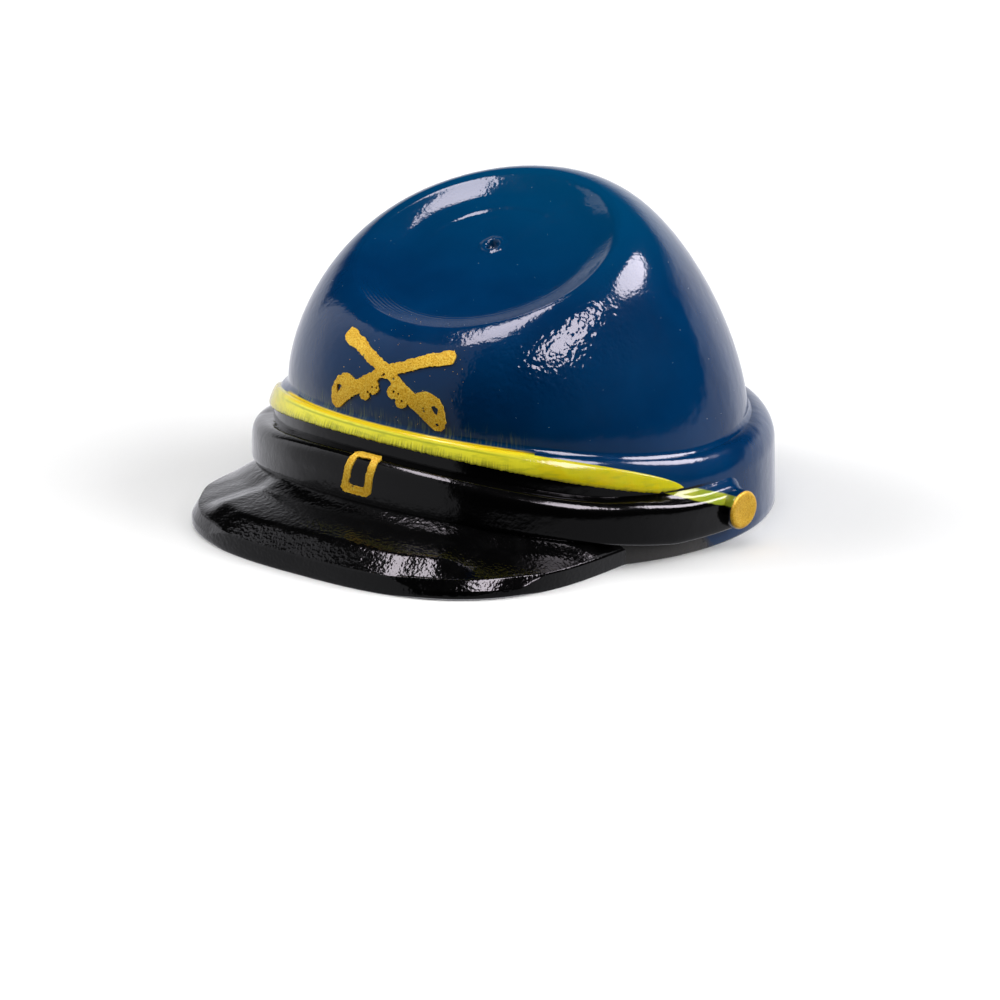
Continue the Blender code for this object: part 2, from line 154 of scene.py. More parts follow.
class Field:
    """A node socket. Arithmetic on it adds Math nodes to its tree."""

    def __init__(self, socket):
        self.socket = socket

    __add__ = __radd__ = lambda self, other: sum_up("ADD", self, other)
    __mul__ = __rmul__ = lambda self, other: sum_up("MULTIPLY", self, other)
    __sub__ = lambda self, other: sum_up("SUBTRACT", self, other)
    __rsub__ = lambda self, other: sum_up("SUBTRACT", other, self)
    __truediv__ = lambda self, other: sum_up("DIVIDE", self, other)
    __rtruediv__ = lambda self, other: sum_up("DIVIDE", other, self)
    __pow__ = lambda self, power: sum_up("POWER", self, power)
    __neg__ = lambda self: self * -1.0


def plug(socket, value):
    """Links a field to a socket, or sets a number, a colour or a material on it."""
    if isinstance(value, Field):
        socket.id_data.links.new(value.socket, socket)
    else:
        socket.default_value = value


def sum_up(operation, *items, clamp=False):
    """One Math node; the items are numbers and fields, with at least one field."""
    tree = next(item.socket.id_data for item in items if isinstance(item, Field))
    node = tree.nodes.new("ShaderNodeMath")
    node.operation = operation
    node.use_clamp = clamp
    for socket, item in zip(node.inputs, items):
        plug(socket, item)
    return Field(node.outputs[0])


def either(operation, plain):
    """A function that works on numbers and on fields alike."""
    def worked(*items):
        if any(isinstance(item, Field) for item in items):
            return sum_up(operation, *items)
        return plain(*items)
    return worked


sine = either("SINE", sin)
cosine = either("COSINE", cos)
square_root = either("SQRT", sqrt)
size_of = either("ABSOLUTE", abs)
least = either("MINIMUM", min)
most = either("MAXIMUM", max)
bearing = either("ARCTAN2", atan2)


class Tree:
    """A node tree that is filled by one method for every kind of node."""

    def __init__(self, tree):
        self.tree = tree

    def add(self, kind, inputs=None, **settings):
        """Makes a node: its settings first, then the values and links of its sockets."""
        node = self.tree.nodes.new(kind)
        for name, value in settings.items():
            if name == "curve":
                shape_curve(node.mapping, value)
            else:
                setattr(node, name, value)
        for name, value in (inputs or {}).items():
            plug(node.inputs[name], value)
        return node

    def read(self, output, kind, inputs=None, **settings):
        return Field(self.add(kind, inputs, **settings).outputs[output])

    def curve(self, value, points):
        return self.read(0, "ShaderNodeFloatCurve", {"Value": value}, curve=points)

    def blend(self, factor, first, second):
        """Mixes two colours, each a field or three numbers."""
        first, second = (item if isinstance(item, Field) else (*item, 1.0) for item in (first, second))
        return self.read(2, "ShaderNodeMix", {0: factor, 6: first, 7: second}, data_type="RGBA")

    def vector(self, x, y, z):
        return self.read(0, "ShaderNodeCombineXYZ", {"X": x, "Y": y, "Z": z})

    def parts(self, vector):
        return [Field(socket) for socket in self.add("ShaderNodeSeparateXYZ", {"Vector": vector}).outputs]


def shape_curve(mapping, points):
    curve = mapping.curves[0]
    while len(curve.points) < len(points):
        curve.points.new(0.5, 0.5)
    for point, place in zip(curve.points, points):
        point.location = place
        point.handle_type = "AUTO_CLAMPED"
    mapping.update()


# ---------------- rules, for numbers and fields

def mix(first, last, share):
    return first + (last - first) * share


def clamped(value):
    return most(least(value, 1.0), 0.0)


def smooth(value):
    share = clamped(value)
    return share * share * (3 - 2 * share)


def polar(radius, angle, height):
    """A point round the band's axis; it still has to be placed in the cap."""
    return radius * sine(angle), -(radius * cosine(angle)), height


def rising(side, front, rate, power):
    """A height round the cap, from the side where rate * angle reaches a quarter turn up to the front."""
    def height(angle):
        turned = least(size_of(angle) * rate, pi / 2)
        return mix(side, front, most(cosine(turned), 0.0) ** power)
    return height


ledge_height = rising(LEDGE_BACK_HEIGHT, LEDGE_FRONT_HEIGHT, 1.0, 1.5)
strap_bottom = rising(STRAP_BOTTOM_SIDE, STRAP_BOTTOM_FRONT, 1.25, 1.15)
strap_top = rising(STRAP_TOP_SIDE, STRAP_TOP_FRONT, 1.6, 1.3)
stripe_bottom = rising(STRIPE_SIDE + 0.02 * MM, STRIPE_BOTTOM_FRONT, 1.32, 1.1)
stripe_top = rising(STRIPE_SIDE, STRIPE_TOP_FRONT, 1.19, 0.65)


def seat_radius(angle):
    """How far from the band's axis the crown's round foot lies, which sits a little forward."""
    sideways = SEAT_FORWARD * sine(angle)
    return SEAT_FORWARD * cosine(angle) + square_root(CROWN.seat_radius ** 2 - sideways * sideways)


def band_radius(angle, height):
    start = ledge_height(angle) - LEDGE_ROUNDING
    upright = mix(BAND_RADIUS, BAND_NECK_RADIUS, clamped(height / start))
    share = clamped((height - start) / LEDGE_ROUNDING)
    inwards = 1 - square_root(most(1 - share * share, 0.0))
    return upright + (seat_radius(angle) - BAND_NECK_RADIUS) * inwards


def seat_point(turn, form, inset=0.0):
    """A point of the crown's foot, just under the ledge's top."""
    x = (form.seat_radius - inset) * sine(turn)
    ahead = SEAT_FORWARD + (form.seat_radius - inset) * cosine(turn)
    return x, -ahead, ledge_height(bearing(x, ahead)) - TUCK


def tipped_point(radius, turn, rise, form):
    """A point in the tipped top's plane, or above it by a rise."""
    ahead = radius * cosine(turn)
    upright, level = cosine(form.crest_tilt), sine(form.crest_tilt)
    return (radius * sine(turn), CREST_Y - rise * level - ahead * upright,
            CREST_Z + rise * upright - ahead * level)


def crown_point(turn, share, form, inner=False):
    """A point of the crown's side: share 0 on the ledge, share 1 on the crest round the dish."""
    lean = 0.01 + 0.15 * cosine(turn) + 0.06 * cosine(turn * 2)
    low_pull = 1.6 * MM - 1.15 * MM * cosine(turn)
    high_pull = 1.36 * MM + 0.2 * MM * cosine(turn * 2)
    inset, radius, rise = 0.0, form.crest_radius, 0.0
    if inner:
        inset = form.wall
        radius, rise = form.crest_radius - ROOF_INSET, -(form.dish_depth + form.wall)
        low_pull, high_pull = low_pull * INNER_PULL, high_pull * INNER_PULL
    low = seat_point(turn, form, inset)
    high = tipped_point(radius, turn, rise, form)
    before_high = tipped_point(radius + high_pull, turn, rise, form)
    after_low = (low[0] + lean * sine(turn) * low_pull, low[1] - lean * cosine(turn) * low_pull,
                 low[2] + low_pull)
    rest = 1 - share
    weights = (rest * rest * rest, 3 * share * rest * rest, 3 * share * share * rest, share * share * share)
    corners = (low, after_low, before_high, high)
    return tuple(sum(weight * corner[axis] for weight, corner in zip(weights, corners)) for axis in range(3))


# ---------------- mesh helpers

def put_in_scene(name, data):
    holder = bpy.data.objects.new(name, data)
    bpy.context.scene.collection.objects.link(holder)
    return holder


def plain_mesh(holder, name):
    """The evaluated shape of an object as a plain mesh of its own; the holder goes."""
    seen = holder.evaluated_get(bpy.context.evaluated_depsgraph_get())
    mesh = bpy.data.meshes.new_from_object(seen)
    bpy.data.objects.remove(holder, do_unlink=True)
    mesh.name = name
    return mesh


def tidy_mesh(mesh, sharp):
    """Merges doubles, turns the faces outwards, and shades edges sharper than an angle as sharp."""
    build = bmesh.new()
    build.from_mesh(mesh)
    bmesh.ops.remove_doubles(build, verts=build.verts, dist=MERGED)
    bmesh.ops.dissolve_degenerate(build, edges=build.edges, dist=0.0002 * MM)
    bmesh.ops.recalc_face_normals(build, faces=build.faces)
    build.to_mesh(mesh)
    build.free()
    mesh.shade_smooth()
    mesh.set_sharp_from_angle(angle=radians(sharp))
    return mesh


def place_in_cap(mesh):
    """Moves a mesh that was made round the band's axis to its place."""
    mesh.transform(Matrix.Translation((0.0, AXIS_Y, 0.0)))
    return mesh


def loft(name, sections, sharp, ring=False):
    """A closed solid through closed sections of as many points each, in its place in the cap."""
    count, rows = len(sections), len(sections[0])
    points = [point for section in sections for point in section]
    faces = []
    for section in range(count if ring else count - 1):
        here, after = section * rows, (section + 1) % count * rows
        for row in range(rows):
            beside = (row + 1) % rows
            faces.append((here + row, here + beside, after + beside, after + row))
    if not ring:
        faces += [tuple(range(rows)), tuple((count - 1) * rows + row for row in range(rows))]
    mesh = bpy.data.meshes.new(name)
    mesh.from_pydata(points, [], faces)
    return place_in_cap(tidy_mesh(mesh, sharp))


def through(rows, steps):
    """A smooth curve through rows of numbers, with steps points from each to the next."""
    rows = np.array(rows, float)
    padded = np.vstack([2 * rows[0] - rows[1], rows, 2 * rows[-1] - rows[-2]])
    made = []
    for p0, p1, p2, p3 in zip(padded, padded[1:], padded[2:], padded[3:]):
        for step in range(steps):
            t = step / steps
            made.append(0.5 * (2 * p1 + (p2 - p0) * t + (2 * p0 - 5 * p1 + 4 * p2 - p3) * t * t
                               + (3 * p1 - p0 - 3 * p2 + p3) * t ** 3))
    return np.array(made + [rows[-1]])


def add_piece(name, mesh, finish, node):
    """Puts a finished mesh in the scene in place of a CAD node."""
    mesh.materials.clear()
    mesh.materials.append(finish)
    piece = put_in_scene(name, mesh)
    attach(piece, "root")
    if node:
        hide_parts(node)
    return piece


# ---------------- geometry trees

def titled(size):
    """A size's name as its socket shows it."""
    return size.replace("_", " ").title()


def form_tree(name, form):
    """An empty geometry tree with an input for each of the form's sizes, and its inputs as fields."""
    group = bpy.data.node_groups.new(name, "GeometryNodeTree")
    add_socket = group.interface.new_socket
    add_socket("Geometry", in_out="INPUT", socket_type="NodeSocketGeometry")
    for size, value in vars(form).items():
        add_socket(titled(size), in_out="INPUT", socket_type="NodeSocketFloat").default_value = value
    add_socket("Finish", in_out="INPUT", socket_type="NodeSocketMaterial")
    add_socket("Geometry", in_out="OUTPUT", socket_type="NodeSocketGeometry")
    tree = Tree(group)
    entry = tree.add("NodeGroupInput")
    names = ["geometry", *vars(form), "finish"]
    return tree, SimpleNamespace(**{size: Field(entry.outputs[titled(size)]) for size in names})


def sheet_of(tree, columns, rows, place):
    """A grid whose points go where place(across, along) says; both run from 0 to 1."""
    sizes = {"Size X": 1.0, "Size Y": 1.0, "Vertices X": columns + 1, "Vertices Y": rows + 1}
    grid = tree.read("Mesh", "GeometryNodeMeshGrid", sizes)
    x, y, _ = tree.parts(tree.read(0, "GeometryNodeInputPosition"))
    spot = tree.vector(*place(x + 0.5, y + 0.5))
    return tree.read(0, "GeometryNodeSetPosition", {"Geometry": grid, "Position": spot})


def close_tree(tree, parts, finish):
    """Joins the parts, merges their seams and gives the result its finish."""
    joined = tree.add("GeometryNodeJoinGeometry")
    for part in parts:
        plug(joined.inputs[0], part)
    merged = tree.read(0, "GeometryNodeMergeByDistance", {"Geometry": Field(joined.outputs[0]),
                                                          "Distance": 0.0008 * MM})
    real = tree.read(0, "GeometryNodeRealizeInstances", {"Geometry": merged})
    done = tree.read(0, "GeometryNodeSetMaterial", {"Geometry": real, "Material": finish})
    tree.add("NodeGroupOutput", {"Geometry": done})


def grow(name, tree, form, finish, base=None):
    """Runs a geometry tree on an object with the form's sizes set, and keeps the plain mesh."""
    holder = put_in_scene(name + "_holder", base or bpy.data.meshes.new(name + "_start"))
    modifier = holder.modifiers.new("Form", "NODES")
    modifier.node_group = tree.tree
    values = {titled(size): value for size, value in vars(form).items()}
    values["Finish"] = finish
    for item in tree.tree.interface.items_tree:
        if item.in_out == "INPUT" and item.name in values:
            modifier[item.identifier] = values[item.name]
    return plain_mesh(holder, name)


def crown_mesh(finish):
    """The crown as one closed shell: dish, side, foot, inner wall and roof."""
    tree, form = form_tree("crown_form", CROWN)

    def dish(across, along):
        turn = across * (2 * pi)
        ring = crown_point(turn, RIM_SHARE, form)
        middle = tipped_point(0.0, turn, -0.02 * MM, form)
        # depth from the middle to the edge: the floor, then the wall
        profile = ((0, 0.86), (0.3, 0.855), (0.55, 0.835), (0.71, 0.802), (0.739, 0.776), (0.768, 0.736),
                   (0.797, 0.665), (0.826, 0.573), (0.855, 0.467), (0.884, 0.353), (0.913, 0.229),
                   (0.933, 0.133), (0.951, 0.055), (0.965, 0.013), (0.98, 0), (1, 0))
        shifted = along / (cosine(turn - DISH_SHIFT_TURN) * DISH_SHIFT + 1)
        sunk = tree.curve(least(shifted, 1.0), profile)
        # the wall is lower at the back than in front
        back = ((0, 1), (0.25, 1), (0.39, 0.98), (0.45, 0.78), (0.485, 0.66), (0.56, 0.66),
                (0.6, 0.74), (0.69, 0.8), (0.75, 0.95), (0.82, 1), (1, 1))
        lowering = mix(0.88, tree.curve(across, back), smooth(along * 1.4))
        # a faint step round the floor, at the back alone
        step = tree.curve(along, ((0, 0.5), (0.42, 0.5), (0.54, 1), (0.6, 0), (0.72, 0.5), (1, 0.5)))
        sunk = sunk + (step - 0.5) * 0.15 * most(cosine(turn - radians(208)), 0.0) ** 3
        radius = along * form.crest_radius * 1.06
        from_gate = square_root((radius * sine(turn) - GATE_ACROSS) ** 2
                                + (radius * cosine(turn) - GATE_AHEAD) ** 2)
        # a pit with a raised, uneven lip
        pit = ((0, 1), (0.1, 0.97), (0.17, 0.8), (0.23, 0.4), (0.29, 0.1), (0.36, 0.06), (0.45, 0.15),
               (0.6, 0.23), (0.8, 0.2), (1, 0.2))
        hollow = tree.curve(clamped(from_gate / GATE_REACH), pit) - 0.2
        depth = sunk * lowering * form.dish_depth + hollow * GATE_DEPTH
        down = (0.0, sine(form.crest_tilt), -cosine(form.crest_tilt))
        return tuple(mix(start, end, along) + depth * part for start, end, part in zip(middle, ring, down))

    def side(across, along):
        turn = across * (2 * pi)
        spot = crown_point(turn, along ** 1.5 * RIM_SHARE, form)
        rim, flared = seat_point(turn, form), seat_point(turn, form, -FOOT_FLARE)
        flare = (1 - clamped((spot[2] - rim[2]) / FOOT_FLARE_HEIGHT)) ** 2
        return tuple(part + (out - base) * flare for part, base, out in zip(spot, rim, flared))

    def foot(across, along):
        return seat_point(across * (2 * pi), form, mix(-FOOT_FLARE, form.wall, along))

    def inner(across, along):
        return crown_point(across * (2 * pi), along, form, inner=True)

    def roof(across, along):
        rise = -(form.dish_depth + form.wall)
        return tipped_point((form.crest_radius - ROOF_INSET) * along, across * (2 * pi), rise, form)

    parts = [sheet_of(tree, TURNED_STEPS, rows, place)
             for rows, place in ((150, dish), (90, side), (1, foot), (20, inner), (6, roof))]
    close_tree(tree, parts, form.finish)
    return place_in_cap(tidy_mesh(grow("crown_shell", tree, CROWN, finish), 60))


def strap_mesh(finish):
    """The strap as a closed bar that follows the band, flush with it behind."""
    tree, form = form_tree("strap_form", STRAP)

    def bar(across, along):
        angle = (across * 2 - 1) * form.end_angle
        # along runs up the outer side, in over the top, up a fillet on the band, then down the back
        share = tree.curve(along, [(place, height) for place, height, _ in STRAP_SECTION])
        inset = tree.curve(along, [(place, depth) for place, _, depth in STRAP_SECTION])
        # at the flanks the top slopes down to a lower corner
        flank = smooth((size_of(angle) - STRAP_FLANK_START) / STRAP_FLANK_LENGTH)
        lowered = ((0, 0), (0.26, 0), (0.4, 0.04), (0.5, 0.13), (0.58, 0.19), (0.65, 0.21), (0.71, 0.225),
                   (0.77, 0.218), (0.83, 0.18), (0.89, 0.12), (0.94, 0.07), (1, 0))
        cut_back = ((0, 0), (0.58, 0), (0.65, 0.04), (0.71, 0.1), (0.77, 0.12), (0.83, 0.07), (0.89, 0.02),
                    (1, 0))
        share = share - flank * tree.curve(along, lowered)
        inset = inset + flank * tree.curve(along, cut_back)
        # the rounded ends pinch in
        beyond = clamped((size_of(angle) - form.end_angle + form.end_rounding) / form.end_rounding)
        swell = square_root(most(1 - beyond * beyond, 0.0))
        bottom, top = strap_bottom(angle), strap_top(angle)
        pinch = (1 - swell) * STRAP_END_PINCH * (top - bottom)
        height = mix(bottom + pinch, top - pinch, share)
        outermost = mix(form.radius, form.end_radius, flank)
        floor_radius = band_radius(angle, height) - TUCK
        radius = mix(floor_radius, outermost - inset * mix(1.0, STRAP_FLANK_ROUNDING, flank) * MM, swell)
        back = ((0, 1), (0.08, 0), (0.77, 0), (0.83, 0.15), (0.89, 0.7), (0.94, 1), (1, 1))
        return polar(mix(radius, floor_radius, tree.curve(along, back)), angle, height)

    close_tree(tree, [sheet_of(tree, 260, 100, bar)], form.finish)
    return place_in_cap(tidy_mesh(grow("chin_strap_bar", tree, STRAP, finish), 60))


def stripe_mesh(finish):
    """The stripe as a thin raised layer on the ledge, with a brushed lower edge."""
    tree, form = form_tree("stripe_form", STRIPE)

    def layer(across, along):
        angle = (across * 2 - 1) * form.end_angle
        # along runs up the front of the layer, then back down behind it
        climb = ((0, 0), (0.08, 0.03), (0.5, 0.5), (0.64, 0.97), (0.72, 1), (0.75, 1), (1, 0))
        bulge = ((0, 0), (0.04, 0.55), (0.12, 0.85), (0.35, 1), (0.6, 0.85), (0.69, 0.6), (0.75, 0), (1, 0))
        share, raised = tree.curve(along, climb), tree.curve(along, bulge)
        edge = tree.read("Fac", "ShaderNodeTexNoise", {"W": angle * 60, "Scale": 1.0, "Detail": 2.0},
                         noise_dimensions="1D")
        low = stripe_bottom(angle) + (edge - 0.5) * 2 * form.ragged_edge
        high = least(stripe_top(angle), ledge_height(angle) - TUCK)
        height = mix(low, high, share)
        closing = clamped((form.end_angle - size_of(angle)) / radians(3)) ** 0.5
        lift = (form.thickness + TUCK) * raised * closing
        return polar(band_radius(angle, height) - TUCK + lift, angle, height)

    close_tree(tree, [sheet_of(tree, 420, 40, layer)], form.finish)
    return place_in_cap(tidy_mesh(grow("ledge_stripe", tree, STRIPE, finish), 70))


def speck_mesh(name, base, finish, density, size, seed, region):
    """Tiny grains strewn over a mesh by a seeded scatter; region(tree) gives a share from 0 to 1."""
    sizes = SimpleNamespace(density=density, size=size)
    tree, given = form_tree(name + "_strewn", sizes)
    strewn = tree.add("GeometryNodeDistributePointsOnFaces",
                      {"Mesh": given.geometry, "Density": given.density * region(tree), "Seed": seed})
    grain = tree.read("Mesh", "GeometryNodeMeshIcoSphere", {"Radius": 1.0, "Subdivisions": 1})
    width = given.size * tree.read(1, "FunctionNodeRandomValue", {2: 0.35, 3: 1.0, "Seed": seed + 1})
    set_out = tree.read(0, "GeometryNodeInstanceOnPoints",
                        {"Points": Field(strewn.outputs["Points"]), "Instance": grain,
                         "Rotation": Field(strewn.outputs["Rotation"]),
                         "Scale": tree.vector(width, width, given.size * 0.5)})
    close_tree(tree, [set_out], given.finish)
    return grow(name, tree, sizes, finish, base)


# ---------------- lofted pieces

def band_mesh():
    sections = []
    for step in range(360):
        angle = radians(step - 180)
        top = ledge_height(angle)
        start = top - LEDGE_ROUNDING
        heights = [0.0, 0.015 * MM, 0.05 * MM]
        heights += [0.05 * MM + (start - 0.05 * MM) * row / 10 for row in range(1, 11)]
        heights += [start + LEDGE_ROUNDING * sin(row / 18 * pi / 2) for row in range(1, 19)]
        insets = [0.05 * MM, 0.015 * MM] + [0.0] * (len(heights) - 2)
        section = [polar(band_radius(angle, height) - inset, angle, height)
                   for height, inset in zip(heights, insets)]
        section += [polar(mix(seat_radius(angle), BORE_RADIUS, share), angle, top) for share in (0.5, 1)]
        section += [polar(BORE_RADIUS, angle, top * share) for share in (0.66, 0.33, 0.0)]
        sections.append(section)
    return loft("band_ring", sections, 50, ring=True)


def peak_fall(share, front):
    """How far the peak's top has fallen: evenly at the flanks, and late and steeply in front."""
    late = max((share - 0.76) / 0.1, 0.0)
    steep = 0.1 * (late ** 3 - late ** 4 / 2 if late < 1 else late - 0.5)
    return mix(share, (0.06 * share + 0.1 * share ** 2 + 0.58 * steep) / 0.27, front)


def peak_section(share):
    """One upright section of the peak, from where it meets the band to its edge."""
    root_angle, swing = share * PEAK_ROOT_ANGLE, share * PEAK_SWEEP
    along_reach = PEAK_REACH + PEAK_CENTRE_Y
    across_part = (abs(sin(swing)) / PEAK_HALF_WIDTH) ** PEAK_SQUARENESS
    along_part = (abs(cos(swing)) / along_reach) ** PEAK_SQUARENESS
    reach = (across_part + along_part) ** (-1 / PEAK_SQUARENESS)
    edge = Vector((reach * sin(swing), PEAK_CENTRE_Y - reach * cos(swing), 0.0))
    thickness = mix(PEAK_EDGE_FRONT, PEAK_EDGE_FLANK, share ** 2)
    root_top = strap_bottom(root_angle) - SEAM
    root_bottom = max(root_top - PEAK_ROOT_THICKNESS, 0.0)
    root = Vector(polar(band_radius(root_angle, root_top) - 0.05 * MM, root_angle, 0.0))
    outward = edge - root
    outward_length = max(outward.length, 0.02 * MM)
    # the edge is crisp, but bevelled where the front turns into the flanks
    turned = abs(swing)
    front = 1 - smooth((turned - radians(36)) / radians(12))
    bevel = smooth((turned - radians(25)) / radians(9)) * (1 - smooth((turned - radians(57)) / radians(8)))
    nose = min(mix(0.06, 0.18, bevel) * MM, 0.4 * outward_length) / outward_length
    drop = mix(0.06, 0.25, bevel) * MM
    rows = []
    for step in range(49):
        share_out = step / 48
        along = share_out * (1 - nose)
        lift = PEAK_FILLET * (1 - smooth((along * outward_length - PEAK_FILLET_START) / PEAK_FILLET_LENGTH))
        lift *= smooth(outward_length / (1.5 * MM))
        rows.append((along, mix(root_top, thickness, peak_fall(share_out, front)) + lift))
    corner = through([(1 - nose, thickness), (1 - nose * 0.85, thickness - drop * 0.06),
                      (1 - nose * 0.15, thickness - drop * 0.85), (1.0, thickness - drop * 1.1),
                      (1.0, thickness * 0.12), (1 - nose * 0.5, 0.0)], 5)
    rows += [tuple(row) for row in corner[1:]]
    # the underside rises evenly towards the band
    rows += [((1 - nose) * 0.75, root_bottom * 0.2), ((1 - nose) * 0.5, root_bottom * 0.45)]
    rows.append((0.0, root_bottom))
    return [tuple(root + outward * along + UP * height) for along, height in rows]


def peak_mesh():
    return loft("peak_shade", [peak_section(step / 90 - 1) for step in range(181)], 50)


def button_mesh(name, side):
    """A turned boss with a soft rim and a slightly hollow face."""
    angle = side * BUTTON_ANGLE
    middle = Vector(polar(STRAP.end_radius, angle, BUTTON_Z))
    outward = Vector(polar(1.0, angle, 0.0))
    level = UP.cross(outward) * BUTTON_STRETCH
    turns = [radians(step * 5) for step in range(72)]
    sections = []
    profile = [(0, 0.93), (0.4, 0.94), (0.74, 0.99), (0.9, 0.93), (0.985, 0.72), (1, 0.5), (1, -0.3)]
    for share, rise in through(profile, 5):
        face = middle + outward * rise * (BUTTON_HEIGHT + SEAM)
        sections.append([tuple(face + (level * cos(turn) + UP * sin(turn)) * share * BUTTON_RADIUS)
                         for turn in turns])
    return loft(name, sections, 60)


# ---------------- ink drawings

def rough_outline(outline, step, shake, seed):
    """The same closed outline in short steps, each moved a little, as ink that has spread."""
    made = []
    for index, (x0, y0) in enumerate(outline):
        x1, y1 = outline[(index + 1) % len(outline)]
        length = sqrt((x1 - x0) ** 2 + (y1 - y0) ** 2)
        count = max(1, int(length / step))
        for part in range(count):
            x, y = mix(x0, x1, part / count), mix(y0, y1, part / count)
            place = Vector((x / MM * 13 + seed, y / MM * 13, seed * 1.7))
            made.append((x + noise.noise(place) * shake, y + noise.noise(place + Vector((31, 7, 3))) * shake))
    return made


def ink_plate(name, outlines, grid):
    """A flat plate from closed outlines, the first outside and the others holes, cut along a grid."""
    drawing = bpy.data.curves.new(name + "_drawing", "CURVE")
    drawing.dimensions = "2D"
    drawing.fill_mode = "BOTH"
    drawing.extrude = INK_THICKNESS / 2
    for outline in outlines:
        spline = drawing.splines.new("POLY")
        spline.points.add(len(outline) - 1)
        for point, (x, y) in zip(spline.points, outline):
            point.co = (x, y, 0.0, 1.0)
        spline.use_cyclic_u = True
    mesh = plain_mesh(put_in_scene(name + "_drawing", drawing), name)
    build = bmesh.new()
    build.from_mesh(mesh)
    bmesh.ops.remove_doubles(build, verts=build.verts, dist=MERGED)
    for axis in (Vector((1, 0, 0)), Vector((0, 1, 0))):
        reach = max(abs(vert.co.dot(axis)) for vert in build.verts)
        steps = int(reach / grid)
        for index in range(-steps, steps + 1):
            everything = build.verts[:] + build.edges[:] + build.faces[:]
            bmesh.ops.bisect_plane(build, geom=everything, dist=0.001 * MM,
                                   plane_co=axis * index * grid, plane_no=axis)
    bmesh.ops.triangulate(build, faces=build.faces)
    build.to_mesh(mesh)
    build.free()
    return mesh


def lay_on(mesh, carrier, start_of, direction_of):
    """Lays a flat plate on a mesh: each point goes along its ray to the surface, then out from it."""
    tree = BVHTree.FromPolygons([vert.co[:] for vert in carrier.vertices],
                                [tuple(face.vertices) for face in carrier.polygons])
    for vert in mesh.vertices:
        x, y, z = vert.co
        hit, normal, _, _ = tree.ray_cast(start_of(x, y), direction_of(x, y))
        if normal.dot(direction_of(x, y)) > 0:
            normal = -normal
        vert.co = hit + normal * (INK_THICKNESS if z > 0 else -TUCK)
    return tidy_mesh(mesh, 60)


def sabres_mesh(crown):
    """Crossed sabres, drawn in millimetres from the badge's middle; the left half mirrors the right."""
    blade = [(0, 0.13), (0.2, 0.19), (0.54, 0.32), (0.87, 0.45), (1.06, 0.53), (1.2, 0.54), (1.36, 0.61),
             (1.5, 0.63), (1.59, 0.6), (1.64, 0.48), (1.63, 0.38), (1.46, 0.3), (1.19, 0.26), (0.92, 0.18),
             (0.65, 0.07), (0.4, -0.02), (0.34, -0.07)]
    grip = [(0.58, -0.23), (0.83, -0.39), (0.93, -0.42)]
    guard = [(1.14, -0.33), (1.37, -0.39), (1.57, -0.54), (1.7, -0.81), (1.73, -1.08), (1.66, -1.23),
             (1.53, -1.28), (1.38, -1.21), (1.2, -1.05), (0.97, -0.87), (0.79, -0.76), (0.71, -0.71)]
    knuckles = [(0.7, -0.77), (0.6, -0.84), (0.47, -0.83), (0.4, -0.74), (0.4, -0.66), (0.37, -0.63),
                (0.3, -0.66), (0.2, -0.62), (0.14, -0.53), (0.14, -0.42), (0.2, -0.34), (0.18, -0.27),
                (0.08, -0.21)]
    half = blade + grip + guard + knuckles
    whole = half + [(-x, y) for x, y in reversed(half) if x > 0]
    rounded = [tuple(row) for row in through(whole + [whole[0]], 3)[:-1]]
    eye = [(1.34, -0.7), (1.43, -0.64), (1.52, -0.69), (1.54, -0.8), (1.52, -0.9), (1.44, -0.83)]
    outlines = [rounded, eye, [(-x, y) for x, y in reversed(eye)]]
    # rivets: small bare dots
    rivets = ((1.52, -1.12, 0.045), (0.32, -0.47, 0.035), (0.46, -0.5, 0.03), (0.57, -0.66, 0.035),
              (-0.05, -0.12, 0.04), (-0.2, -0.47, 0.03), (-0.33, -0.48, 0.03), (-0.45, -0.63, 0.035))
    turns = [2 * pi * step / 9 for step in range(9)]
    outlines += [[(x + size * cos(turn), y + size * sin(turn)) for turn in turns] for x, y, size in rivets]
    roughened = []
    for index, outline in enumerate(outlines):
        shake = 0.03 * MM if index < 3 else 0.0
        roughened.append(rough_outline([(x * MM, y * MM) for x, y in outline], 0.025 * MM, shake, index))
    plate = ink_plate("sabres_ink", roughened, 0.1 * MM)
    ahead = Vector((0, 1, 0))
    return lay_on(plate, crown, lambda x, y: Vector((BADGE_X + x, -0.02, BADGE_Z + y)), lambda x, y: ahead)


